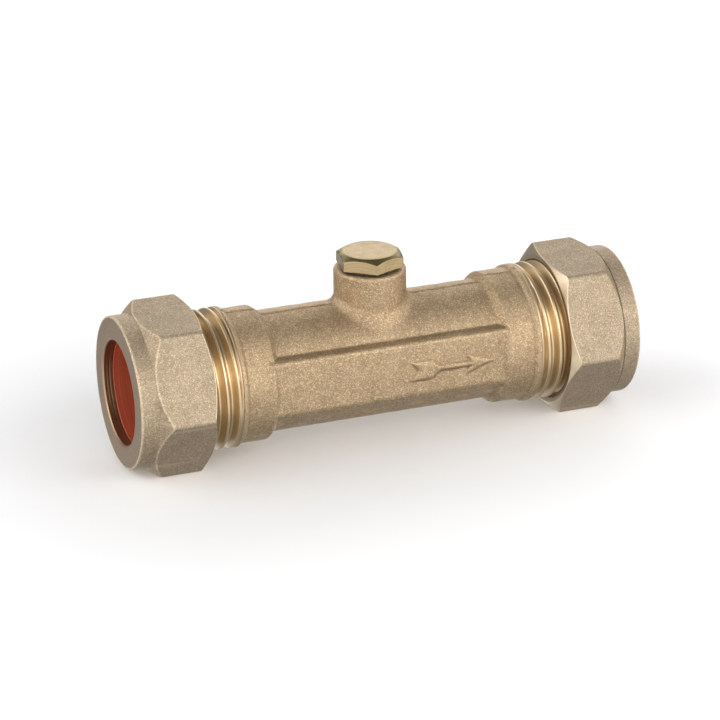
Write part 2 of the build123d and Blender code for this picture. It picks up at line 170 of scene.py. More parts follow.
# Check springs, inside the cartridges
SPRING_WIRE = 0.35
SPRING_RADIUS = 1.95
SPRING_TURNS = 4.5
SPRING_CLEARANCE = 0.02
CARTRIDGE_FACES = {"inlet": -20.4, "outlet": 8.0}
POPPET_BACK, HUB_START = 4.4, 8.8


# ---------------------------------------------------------------- meshes

def in_frame(points):
    """Points in millimetres about the valve's centre, moved into the frame, in metres."""
    return np.asarray(points) * MM + np.array([CENTRE_X, 0, 0])


def mesh_object(name, points, faces, materials, face_materials=None):
    """A new object in the scene from points in millimetres."""
    mesh = bpy.data.meshes.new(name)
    mesh.from_pydata(in_frame(points).tolist(), [], faces)
    for material in materials:
        mesh.materials.append(material)
    if face_materials is not None:
        mesh.polygons.foreach_set("material_index", face_materials)
    piece = bpy.data.objects.new(name, mesh)
    bpy.context.scene.collection.objects.link(piece)
    return piece


def finish_mesh(piece, merge=0.002, sharp=radians(38)):
    """Joins doubled points, turns all faces outwards and shades smoothly between sharp edges."""
    work = bmesh.new()
    work.from_mesh(piece.data)
    bmesh.ops.remove_doubles(work, verts=work.verts, dist=merge * MM)
    bmesh.ops.dissolve_degenerate(work, edges=work.edges, dist=merge * MM / 2)
    bmesh.ops.recalc_face_normals(work, faces=work.faces)
    work.to_mesh(piece.data)
    work.free()
    piece.data.shade_smooth()
    piece.data.set_sharp_from_angle(angle=sharp)
    return piece


def ring_piece(name, rows, materials, row_materials, closed=True):
    """A piece from rows of points that each run once round an axis. Each row joins the next one."""
    rows = np.asarray(rows)
    count, around = rows.shape[:2]
    faces = []
    face_materials = []
    for i in range(count if closed else count - 1):
        j = (i + 1) % count
        for k in range(around):
            m = (k + 1) % around
            faces.append((i * around + k, i * around + m, j * around + m, j * around + k))
        face_materials += [row_materials[i]] * around
    piece = mesh_object(name, rows.reshape(-1, 3), faces, materials, face_materials)
    return finish_mesh(piece)


def on_flow_axis(side, u, rho, phi):
    """A point u outwards on that side of the valve, rho from the flow axis, phi round it from below."""
    hand = 1 if side == "outlet" else -1
    u = np.broadcast_to(u, phi.shape)
    rho = np.broadcast_to(rho, phi.shape)
    return np.stack([hand * u, hand * rho * np.sin(phi), -rho * np.cos(phi)], axis=-1)


def on_boss_axis(z, rho, phi):
    """A point at height z, rho from the boss axis, phi round it from +X."""
    z = np.broadcast_to(z, phi.shape)
    rho = np.broadcast_to(rho, phi.shape)
    return np.stack([rho * np.cos(phi), rho * np.sin(phi), z], axis=-1)


def soft_min(a, b, k):
    """The smaller of two values, rounded where they are less than k apart."""
    h = np.clip(0.5 + 0.5 * (b - a) / k, 0, 1)
    return b * (1 - h) + a * h - k * h * (1 - h)


def soft_max(a, b, k):
    return -soft_min(-a, -b, k)


def thread_radius(u, phi, phase, pitch, crest, root, rounding):
    """The radius of a right-hand thread of 55 degree form whose crest leaves phi = 0 at u = phase."""
    turn = (u - phase) / pitch - phi / (2 * pi)
    from_crest = np.abs((turn + 0.5) % 1 - 0.5) * pitch
    outward = 1 if crest > root else -1
    middle = (crest + root) / 2
    flank = middle + outward * (pitch / 4 - from_crest) / tan(FLANK)
    low, high = min(crest, root), max(crest, root)
    return soft_max(soft_min(flank, high, rounding), low, rounding)


def hexagon_radius(phi, vertex, apothem, rounding):
    """The radius of a hexagon with rounded corners, one of them at angle vertex."""
    delta = np.abs((phi - vertex + pi / 6) % (pi / 3) - pi / 6)
    flat = apothem / np.cos(pi / 6 - delta)
    centre = (apothem - rounding) / cos(pi / 6)
    corner = centre * np.cos(delta) + np.sqrt(np.maximum(rounding**2 - (centre * np.sin(delta)) ** 2, 0))
    tangent = np.arctan2(rounding / 2, centre + rounding * cos(pi / 6))
    return np.where(delta < tangent, corner, flat)


def rounded_profile(corners, cuts, phi, steps=5):
    """Rows along a profile of straight runs whose inner corners are rounded.

    A corner is (u, rho), and either may vary round the axis. Gives (place, u, rho) for each row, where
    place is the number of the corner that starts the run, and is half way between on a rounding."""
    longest, tiny = 0.45, 1e-6
    corners = [np.stack([np.broadcast_to(value, phi.shape) for value in corner]) for corner in corners]
    rows = [(0, *corners[0])]
    for i, cut in enumerate(cuts, start=1):
        back, ahead = corners[i - 1] - corners[i], corners[i + 1] - corners[i]
        back_length = np.maximum(np.hypot(*back), tiny)
        ahead_length = np.maximum(np.hypot(*ahead), tiny)
        start = corners[i] + back * np.minimum(cut / back_length, longest)
        end = corners[i] + ahead * np.minimum(cut / ahead_length, longest)
        for step in range(steps + 1):
            t = step / steps
            point = start * (1 - t) ** 2 + corners[i] * 2 * t * (1 - t) + end * t**2
            rows.append((i if step == steps else i - 0.5, *point))
    rows.append((len(corners) - 1, *corners[-1]))
    return rows


def angles_round_hexagon(vertex, steps):
    """Angles once round, close together beside each corner of a hexagon and wider apart between."""
    crowding = 1.8
    offsets = (pi / 6) * (np.arange(steps) / steps) ** crowding
    half = np.concatenate([offsets, pi / 3 - offsets[:0:-1]])
    middle = np.array([pi / 6])
    sector = np.sort(np.unique(np.concatenate([half, middle])))
    return np.concatenate([vertex + sector + i * pi / 3 for i in range(6)])


def stations(*segments):
    """Values along a line. Each segment is (start, end, step), and ends where the next one starts."""
    values = []
    for start, end, step in segments:
        values += list(np.linspace(start, end, max(2, round(abs(end - start) / step) + 1))[:-1])
    return values + [segments[-1][1]]


# ---------------------------------------------------------------- materials

class Shader:
    """A small helper that builds one procedural material, node by node."""

    def __init__(self, name):
        self.material = bpy.data.materials.new(name)
        self.material.use_nodes = True
        self.tree = self.material.node_tree
        self.principled = self.tree.nodes["Principled BSDF"]
        self.place = self.add("ShaderNodeTexCoord").outputs["Object"]

    def add(self, kind, **settings):
        node = self.tree.nodes.new(kind)
        for key, value in settings.items():
            setattr(node, key, value)
        return node

    def link(self, source, target):
        self.tree.links.new(source, target)

    def put(self, target, value):
        if isinstance(value, bpy.types.NodeSocket):
            self.link(value, target)
        else:
            target.default_value = value

    def noise(self, size_mm, detail=2.0, roughness=0.5, stretch=None):
        """Noise whose features are about size_mm across."""
        node = self.add("ShaderNodeTexNoise")
        place = self.place
        if stretch:
            mapping = self.add("ShaderNodeMapping")
            mapping.inputs["Scale"].default_value = stretch
            self.link(place, mapping.inputs["Vector"])
            place = mapping.outputs["Vector"]
        self.link(place, node.inputs["Vector"])
        node.inputs["Scale"].default_value = 1 / (size_mm * MM)
        node.inputs["Detail"].default_value = detail
        node.inputs["Roughness"].default_value = roughness
        return node.outputs["Fac"]

    def speckle(self, size_mm):
        """Cells about size_mm across, each with its own random value."""
        node = self.add("ShaderNodeTexVoronoi")
        self.link(self.place, node.inputs["Vector"])
        node.inputs["Scale"].default_value = 1 / (size_mm * MM)
        grey = self.add("ShaderNodeSeparateColor")
        self.link(node.outputs["Color"], grey.inputs["Color"])
        return grey.outputs["Red"]

    def math(self, operation, a, b=0.0, clamp=False):
        node = self.add("ShaderNodeMath", operation=operation, use_clamp=clamp)
        self.put(node.inputs[0], a)
        self.put(node.inputs[1], b)
        return node.outputs["Value"]

    def stretch(self, value, low, high, to_low=0.0, to_high=1.0):
        """value from low to high mapped to to_low to to_high, and held beyond."""
        node = self.add("ShaderNodeMapRange")
        node.inputs["From Min"].default_value = low
        node.inputs["From Max"].default_value = high
        node.inputs["To Min"].default_value = to_low
        node.inputs["To Max"].default_value = to_high
        self.link(value, node.inputs["Value"])
        return node.outputs["Result"]

    def mix(self, factor, a, b):
        node = self.add("ShaderNodeMix", data_type="RGBA")
        self.put(node.inputs["Factor"], factor)
        for socket, value in ((node.inputs[6], a), (node.inputs[7], b)):
            if isinstance(value, tuple):
                socket.default_value = (*value, 1.0)
            else:
                self.link(value, socket)
        return node.outputs[2]

    def turning(self, axis, spacing_mm):
        """Noise that only changes along a turned profile, so it makes rings round the axis."""
        parts = self.add("ShaderNodeSeparateXYZ")
        self.link(self.place, parts.inputs["Vector"])
        flat = self.add("ShaderNodeCombineXYZ")
        if axis == "X":
            along = parts.outputs["X"]
            self.link(parts.outputs["Y"], flat.inputs["X"])
        else:
            along = parts.outputs["Z"]
            self.link(self.math("SUBTRACT", parts.outputs["X"], CENTRE_X), flat.inputs["X"])
        self.link(parts.outputs["Z" if axis == "X" else "Y"], flat.inputs["Y"])
        length = self.add("ShaderNodeVectorMath", operation="LENGTH")
        self.link(flat.outputs["Vector"], length.inputs[0])
        path = self.math("ADD", length.outputs["Value"], along)
        node = self.add("ShaderNodeTexNoise", noise_dimensions="1D")
        self.link(self.math("MULTIPLY", path, 1 / (spacing_mm * MM)), node.inputs["W"])
        node.inputs["Scale"].default_value = 1.0
        node.inputs["Detail"].default_value = 3.0
        return node.outputs["Fac"]

    def bump(self, height, depth_mm, before=None):
        node = self.add("ShaderNodeBump")
        node.inputs["Strength"].default_value = 1.0
        node.inputs["Distance"].default_value = depth_mm * MM
        self.link(height, node.inputs["Height"])
        if before is not None:
            self.link(before, node.inputs["Normal"])
        return node.outputs["Normal"]

    def surface(self, colour, roughness, metallic=1.0, normal=None, **more):
        shader = self.principled
        if isinstance(colour, tuple):
            shader.inputs["Base Color"].default_value = (*colour, 1.0)
        else:
            self.link(colour, shader.inputs["Base Color"])
        self.put(shader.inputs["Roughness"], roughness)
        shader.inputs["Metallic"].default_value = metallic
        if normal is not None:
            self.link(normal, shader.inputs["Normal"])
        for key, value in more.items():
            shader.inputs[key].default_value = value
        return self.material


def forged_brass(name, light, dark, stain, grain_mm):
    """Shot-blasted forged brass: fine sandy grain, small glints and faint brown stains."""
    s = Shader(name)
    cloud = s.noise(3.0, 3.0, 0.55)
    colour = s.mix(s.stretch(cloud, 0.35, 0.68), dark, light)
    blotch = s.noise(0.9, 3.0, 0.65)
    colour = s.mix(s.stretch(blotch, 0.52, 0.75, 0.0, 0.5), colour, stain)
    grain = s.noise(grain_mm, 3.0, 0.7)
    colour = s.mix(s.stretch(grain, 0.50, 0.68, 0.0, 0.85), colour, tuple(0.42 * c for c in dark))
    glint = s.speckle(grain_mm)
    colour = s.mix(s.stretch(glint, 0.6, 1.0, 0.0, 0.8), colour, tuple(min(1.0, 1.6 * c) for c in light))
    # the mesh's own curvature, 0.5 where it is flat, less in creases and more on edges: creases are
    # darkened as painted shade with some dirt, and edges lightened as a painted highlight with some wear
    curvature = s.add("ShaderNodeNewGeometry").outputs["Pointiness"]
    dirt_and_painted_shade = s.stretch(curvature, 0.49, 0.44, 0.0, 0.8)
    wear_and_painted_highlight = s.stretch(curvature, 0.515, 0.57, 0.0, 0.7)
    colour = s.mix(dirt_and_painted_shade, colour, tuple(0.45 * c for c in dark))
    colour = s.mix(wear_and_painted_highlight, colour, tuple(1.3 * c for c in light))
    facets = s.bump(glint, 0.03)
    sand = s.bump(grain, 0.075, facets)
    swell = s.bump(s.noise(0.8, 2.0), 0.03, sand)
    rough = s.stretch(grain, 0.35, 0.65, 0.42, 0.58)
    return s.surface(colour, rough, 1.0, swell)


def turned_brass(name, light, dark, axis, spacing_mm, depth_mm, rough, metal=1.0):
    """Machined brass with fine rings left by the tool and faint handling marks."""
    s = Shader(name)
    rings = s.turning(axis, spacing_mm)
    colour = s.mix(s.stretch(rings, 0.35, 0.65), dark, light)
    smear = s.noise(1.6, 3.0, 0.6)
    colour = s.mix(s.stretch(smear, 0.5, 0.78, 0.0, 0.35), colour, tuple(0.8 * c for c in dark))
    normal = s.bump(rings, depth_mm)
    roughness = s.stretch(smear, 0.35, 0.7, rough, rough + 0.12)
    return s.surface(colour, roughness, metal, normal)


def moulded_plastic(name, light, dark):
    """Plastic with faint marks where it flowed into the mould."""
    s = Shader(name)
    flow = s.noise(1.8, 3.0, stretch=(0.4, 1.0, 1.0))
    colour = s.mix(s.stretch(flow, 0.35, 0.7), dark, light)
    normal = s.bump(s.noise(0.15, 2.0), 0.006)
    rough = s.stretch(flow, 0.3, 0.7, 0.38, 0.52)
    return s.surface(colour, rough, 0.0, normal)


def seal_rubber(name):
    """Black rubber with a slight pale bloom."""
    s = Shader(name)
    bloom = s.noise(0.7, 3.0, 0.6)
    colour = s.mix(s.stretch(bloom, 0.4, 0.75), (0.018, 0.017, 0.016), (0.05, 0.047, 0.043))
    normal = s.bump(s.noise(0.12, 2.0), 0.008)
    rough = s.stretch(bloom, 0.3, 0.7, 0.55, 0.75)
    return s.surface(colour, rough, 0.0, normal)


def spring_steel(name):
    """Steel wire with fine marks."""
    s = Shader(name)
    drawn = s.noise(0.08, 2.0, stretch=(6.0, 1.0, 1.0))
    colour = s.mix(s.stretch(drawn, 0.35, 0.65), (0.42, 0.42, 0.43), (0.60, 0.60, 0.60))
    normal = s.bump(drawn, 0.004)
    rough = s.stretch(drawn, 0.3, 0.7, 0.22, 0.36)
    return s.surface(colour, rough, 1.0, normal)


def floor_paper_painted_glow(name):
    """White paper that glows, as painted light, more the further it is from the valve: the dimmer floor
    near the valve is a painted soft shadow.
    """
    s = Shader(name)
    white = (1.0, 1.0, 1.0, 1.0)
    fibre = s.noise(6.0, 4.0, 0.6)
    colour = s.mix(fibre, (0.86, 0.86, 0.86), (0.88, 0.88, 0.88))
    away = s.add("ShaderNodeVectorMath", operation="LENGTH")
    s.link(s.place, away.inputs[0])
    # painted light: no glow within 3 cm, a painted shadow round the valve, rising to 0.17 at 9 cm, and a
    # further 0.5 from 0.4 m to 0.9 m
    glow_past_painted_shadow = s.stretch(away.outputs["Value"], 0.03, 0.09, 0.0, 0.17)
    far = s.stretch(away.outputs["Value"], 0.4, 0.9, 0.0, 0.5)
    s.link(s.math("ADD", glow_past_painted_shadow, far), s.principled.inputs["Emission Strength"])
    return s.surface(colour, 0.9, 0.0, **{"Emission Color": white})


BODY_BRASS = forged_brass(
    "body_forged_brass",
    light=(0.465, 0.345, 0.214), dark=(0.387, 0.282, 0.172), stain=(0.31, 0.208, 0.11), grain_mm=0.14,
)
NUT_BRASS = forged_brass(
    "nut_forged_brass",
    light=(0.44, 0.348, 0.24), dark=(0.375, 0.293, 0.2), stain=(0.32, 0.238, 0.152), grain_mm=0.12,
)
# painted highlight, with some wear: a lighter copy of the nut brass for rounded edges
EDGE_WEAR_HIGHLIGHT_BRASS = forged_brass(
    "nut_edge_wear_and_painted_highlight",
    light=(0.62, 0.50, 0.355), dark=(0.53, 0.425, 0.30), stain=(0.44, 0.34, 0.23), grain_mm=0.12,
)
# painted shade: a darker copy of the nut brass for a crease
CREASE_SHADE_BRASS = forged_brass(
    "nut_crease_painted_shade",
    light=(0.20, 0.155, 0.105), dark=(0.16, 0.122, 0.082), stain=(0.12, 0.085, 0.055), grain_mm=0.12,
)
FACE_BRASS = turned_brass(
    "nut_face_brass", light=(0.415, 0.318, 0.23), dark=(0.33, 0.248, 0.176),
    axis="X", spacing_mm=0.16, depth_mm=0.004, rough=0.42,
)
CHAMFER_BRASS = turned_brass(
    "nut_chamfer_brass", light=(0.60, 0.485, 0.345), dark=(0.52, 0.415, 0.29),
    axis="X", spacing_mm=0.12, depth_mm=0.003, rough=0.26,
)
LIP_BRASS = turned_brass(
    "nut_lip_brass", light=(0.38, 0.245, 0.15), dark=(0.28, 0.175, 0.105),
    axis="X", spacing_mm=0.22, depth_mm=0.004, rough=0.34,
)
THREAD_BRASS = turned_brass(
    "thread_brass", light=(0.63, 0.485, 0.305), dark=(0.54, 0.41, 0.25),
    axis="X", spacing_mm=0.10, depth_mm=0.002, rough=0.29,
)
SHOULDER_BRASS = turned_brass(
    "shoulder_brass", light=(0.52, 0.40, 0.26), dark=(0.45, 0.34, 0.22),
    axis="X", spacing_mm=0.12, depth_mm=0.003, rough=0.34,
)
PLUG_BRASS = turned_brass(
    "plug_brass", light=(0.42, 0.312, 0.17), dark=(0.35, 0.262, 0.138),
    axis="Z", spacing_mm=0.20, depth_mm=0.002, rough=0.20,
)
# painted shade: darker copies of the plug's brass for its top and its chamfer
PLUG_TOP_SHADED_BRASS = turned_brass(
    "plug_top_painted_shade", light=(0.335, 0.245, 0.115), dark=(0.28, 0.205, 0.095),
    axis="Z", spacing_mm=0.20, depth_mm=0.003, rough=0.22,
)
PLUG_CHAMFER_SHADED_BRASS = turned_brass(
    "plug_chamfer_painted_shade", light=(0.27, 0.21, 0.105), dark=(0.22, 0.17, 0.085),
    axis="Z", spacing_mm=0.2, depth_mm=0.003, rough=0.28,
)
# painted shade: the deep red that copper shows deep in the nut's shade, put into its colour
COPPER_IN_SHADE = turned_brass(
    "olive_copper", light=(0.56, 0.12, 0.06), dark=(0.45, 0.085, 0.04),
    axis="X", spacing_mm=0.30, depth_mm=0.004, rough=0.34, metal=0.3,
)
# painted highlight: a paler copper for the olive's front rim
COPPER_RIM_HIGHLIGHT = turned_brass(
    "olive_rim_painted_highlight", light=(0.85, 0.48, 0.38), dark=(0.75, 0.38, 0.29),
    axis="X", spacing_mm=0.30, depth_mm=0.002, rough=0.25,
)
RUBBER = seal_rubber("seal_rubber")
WHITE_PLASTIC = moulded_plastic("cartridge_plastic", light=(0.72, 0.71, 0.67), dark=(0.62, 0.61, 0.57))
BLUE_PLASTIC = moulded_plastic("poppet_plastic", light=(0.045, 0.07, 0.20), dark=(0.03, 0.05, 0.15))
STEEL = spring_steel("spring_steel")


# ---------------------------------------------------------------- forging

def round_union(a, b, radius):
    """The union of two distance fields, with a concave fillet between them."""
    corner = np.hypot(np.maximum(radius - a, 0), np.maximum(radius - b, 0))
    return np.maximum(radius, np.minimum(a, b)) - corner


def round_cut(a, b, radius):
    """What two distance fields share, with its outer edge rounded."""
    corner = np.hypot(np.maximum(radius + a, 0), np.maximum(radius + b, 0))
    return np.minimum(-radius, np.maximum(a, b)) + corner


def eased(t):
    """A smooth step from 0 to 1."""
    t = np.clip(t, 0, 1)
    return t * t * (3 - 2 * t)


def line_distance(y, z, start, end):
    """Distance from the line through two points of a cross-section, positive on its left."""
    along = np.array([end[0] - start[0], end[1] - start[1]])
    along /= np.hypot(*along)
    return (z - start[1]) * along[0] - (y - start[0]) * along[1]


def arrow_outline():
    """Corners of the flow arrow, from its forked tail to its tip."""
    tail, notch, neck, tip = 2.8, 7.3, 12.1, 15.8
    shaft, fletch, head = 0.40, 1.45, 1.38
    fletch_slant, barb_slant = 1.2, 0.4
    upper = [
        (tail, fletch),
        (notch - fletch_slant, fletch),
        (notch, shaft),
        (neck, shaft),
        (neck - barb_slant, head),
    ]
    lower = [(x, -z) for x, z in reversed(upper)]
    return [*upper, (tip, 0), *lower, (tail + fletch_slant, 0)]


def polygon_distance(x, z, corners):
    """Signed distance from a polygon, negative inside."""
    nearest = np.full(x.shape, 1e6)
    inside = np.zeros(x.shape, bool)
    for (x0, z0), (x1, z1) in zip(corners, corners[1:] + corners[:1]):
        dx, dz = x1 - x0, z1 - z0
        t = np.clip(((x - x0) * dx + (z - z0) * dz) / (dx * dx + dz * dz), 0, 1)
        nearest = np.minimum(nearest, np.hypot(x - x0 - t * dx, z - z0 - t * dz))
        if dz:
            inside ^= ((z0 > z) != (z1 > z)) & (x < (z - z0) * dx / dz + x0)
    return np.where(inside, -nearest, nearest)


def forging_field(x, y, z):
    """Signed distance from the forged body, in millimetres, negative inside the metal."""
    u, rho, side = np.abs(x), np.hypot(y, z), np.abs(y)
    collar = eased((u - STEP_START) / (STEP_END - STEP_START))
    flare = eased((u - COLLAR_END) / (FLARE_START - COLLAR_END))
    outline = TUBE_RADIUS + (COLLAR_RADIUS - TUBE_RADIUS) * collar
    outline = outline + (FLARE_RADIUS - COLLAR_RADIUS) * flare
    tube = rho - outline
    face = side - PANEL_FACE + PANEL_CROWN * z * z
    top = line_distance(side, z, PANEL_SHOULDER, (PANEL_FACE, PANEL_TOP))
    foot = line_distance(side, z, (PANEL_FACE, PANEL_BOTTOM), PANEL_FOOT)
    panel = round_cut(round_cut(face, top, PANEL_TOP_ROUND), foot, PANEL_FOOT_ROUND)
    panel = np.maximum(panel, line_distance(side, z, PANEL_FOOT, PANEL_INSIDE))
    panel = round_cut(panel, np.maximum(PANEL_ENDS[0] - x, x - PANEL_ENDS[1]), PANEL_END_ROUND)
    metal = round_union(tube, panel, PANEL_FILLET)
    across = np.hypot(x, y)
    boss = np.maximum(round_cut(across - BOSS_RADIUS, z - BOSS_TOP, BOSS_RIM_ROUND), -z)
    metal = round_union(metal, boss, BOSS_FILLET)
    arrow = polygon_distance(x, z - ARROW_HEIGHT, arrow_outline()) - ARROW_MARGIN
    arrow = round_cut(arrow, face - ARROW_RELIEF, ARROW_ROUND)
    metal = round_union(metal, np.maximum(arrow, ARROW_ROOT - side), ARROW_FILLET)
    # the slight unevenness of a forging, and the flash where the dies met
    swell = np.sin(0.9 * x + 1.3) * np.sin(1.1 * z - 0.4)
    swell = swell + np.sin(1.7 * x + 0.8 * y) * np.sin(0.7 * z + 2.0)
    parting = y - FLASH_WANDER * np.sin(0.5 * x)
    flash = FLASH_HEIGHT * np.exp(-((parting / FLASH_WIDTH) ** 2)) * (z < FLASH_TOP)
    metal = metal - SWELL_DEPTH * swell * (z < SWELL_TOP) - flash
    # the bores; where another piece lines one, the forging stands a little back
    bore = np.minimum(rho - CHAMBER_RADIUS, np.maximum(rho - CARTRIDGE_BORE, CARTRIDGE_SHOULDER - u))
    groove_centre = sum(CIRCLIP_GROOVE) / 2
    groove_half = (CIRCLIP_GROOVE[1] - CIRCLIP_GROOVE[0]) / 2
    groove = np.maximum(rho - CIRCLIP_GROOVE_RADIUS, np.abs(u - groove_centre) - groove_half)
    liner = np.maximum(rho - CARTRIDGE_BORE - LINER_GAP, LINER_START - u)
    tapped = np.maximum(across - PORT_RADIUS - PORT_GAP, PORT_BOTTOM - z)
    port = np.minimum(tapped, np.maximum(across - TEST_DRILL, -z))
    hollow = np.minimum(np.minimum(bore, groove), np.minimum(liner, port))
    return np.maximum(np.maximum(metal, u - FORGING_END), -hollow)


def field_surface(field, low, high, voxel):
    """Points and quads of the surface where a distance field is nought, with the points set onto it."""
    band, nudge, passes = 3.0, 0.02, 4
    least_slope, longest_move, tiny = 0.25, 0.4, 1e-9
    axes = [np.arange(a, b + voxel, voxel) for a, b in zip(low, high)]
    x, y, z = np.meshgrid(*axes, indexing="ij")
    values = np.clip(field(x, y, z) / voxel, -band, band).astype(np.float32)
    grid = vdb.FloatGrid(background=band)
    grid.copyFromArray(values, tolerance=0.0)
    points, quads = grid.convertToQuads(isovalue=0.0)
    points = points.astype(float) * voxel + np.array(low)
    for _ in range(passes):
        distance = field(*points.T)
        slope = np.empty_like(points)
        for axis in range(3):
            step = np.zeros(3)
            step[axis] = nudge
            slope[:, axis] = (field(*(points + step).T) - field(*(points - step).T)) / (2 * nudge)
        steep = np.maximum((slope**2).sum(axis=1), least_slope)
        move = -(distance / steep)[:, None] * slope
        length = np.maximum(np.linalg.norm(move, axis=1, keepdims=True), tiny)
        points += move * np.minimum(1, longest_move * voxel / length)
    return points, quads


def make_forging():
    """The forged body, with its machined bores in brighter brass."""
    voxel = 0.2
    margin, reach = 0.6, 11.2
    bored_radius, tapped_radius = CIRCLIP_GROOVE_RADIUS + 0.1, PORT_RADIUS + 0.2
    machined = 1
    low = (-FORGING_END - margin, -reach, -reach)
    high = (FORGING_END + margin, reach, BOSS_TOP + margin)
    points, quads = field_surface(forging_field, low, high, voxel)
    piece = mesh_object("body_forging", points, quads.tolist(), [BODY_BRASS, THREAD_BRASS])
    finish_mesh(piece, merge=0.001, sharp=radians(60))
    centre = np.array([CENTRE_X, 0, 0])
    for face in piece.data.polygons:
        middle = (np.array(face.center) - centre) / MM
        bored = np.hypot(middle[1], middle[2]) < bored_radius
        tapped = np.hypot(middle[0], middle[1]) < tapped_radius and middle[2] > 0
        if bored or tapped:
            face.material_index = machined
    return piece


# ---------------------------------------------------------------- threaded ends, nuts and olives

def make_threaded_end(side):
    """One machined body end: shoulder, external thread, pipe mouth, socket and stop."""
    phase = PHASES[side]
    turns = 192
    phi = np.arange(turns) / turns * 2 * pi
    fine = PITCH / 24
    # the shoulder and the lead-in are cones that run a little past the thread's root and crest
    past = 0.1
    shoulder_blend, lead_blend = 0.06, 0.08
    slope = (FLARE_RADIUS - ROOT + past) / (SHOULDER_END[side] - SHOULDER_TOP_END)
    # the inner end is out of sight in the forging
    hidden_u, hidden_rho = COLLAR_END + 0.3, 9.6
    rows = [
        on_flow_axis(side, hidden_u, hidden_rho, phi),
        on_flow_axis(side, SHOULDER_START - 0.12, FLARE_RADIUS - 0.25, phi),
        on_flow_axis(side, SHOULDER_START - 0.06, FLARE_RADIUS - 0.05, phi),
    ]
    for u in stations((SHOULDER_START, BODY_END - 0.02, fine)):
        radius = thread_radius(u, phi, phase, PITCH, CREST, ROOT, THREAD_ROUND)
        shoulder = FLARE_RADIUS - max(0, u - SHOULDER_TOP_END) * slope
        lead = ROOT - past + (BODY_END - u) * (CREST + past - ROOT) / LEAD_LENGTH
        radius = soft_max(radius, np.full_like(phi, shoulder), shoulder_blend)
        radius = soft_min(radius, lead, lead_blend)
        rows.append(on_flow_axis(side, u, radius, phi))
    inner = [
        (BODY_END, ROOT - 0.22),
        (BODY_END, MOUTH_RADIUS + 0.06),
        (BODY_END - 0.06, MOUTH_RADIUS - 0.02),
    ]
    narrowing = SOCKET_RADIUS - MOUTH_RADIUS
    for depth in stations((0.2, MOUTH_DEPTH, 0.4)):
        inner.append((BODY_END - depth, MOUTH_RADIUS + narrowing * depth / MOUTH_DEPTH))
    inner += [(u, SOCKET_RADIUS) for u in stations((BODY_END - MOUTH_DEPTH - 0.1, PIPE_STOP + 0.02, 0.5))]
    inner += [(PIPE_STOP, SOCKET_RADIUS - 0.03), (PIPE_STOP, CARTRIDGE_BORE + 0.08)]
    inner += [(PIPE_STOP - 0.08, CARTRIDGE_BORE), (hidden_u, CARTRIDGE_BORE)]
    rows += [on_flow_axis(side, u, rho, phi) for u, rho in inner]
    shoulder_rows = 4 + int((SHOULDER_TOP_END - SHOULDER_START) / fine)
    threaded, plain = range(2)
    kinds = [plain] * shoulder_rows + [threaded] * (len(rows) - shoulder_rows)
    return ring_piece(f"{side}_threaded_end", rows, [THREAD_BRASS, SHOULDER_BRASS], kinds)


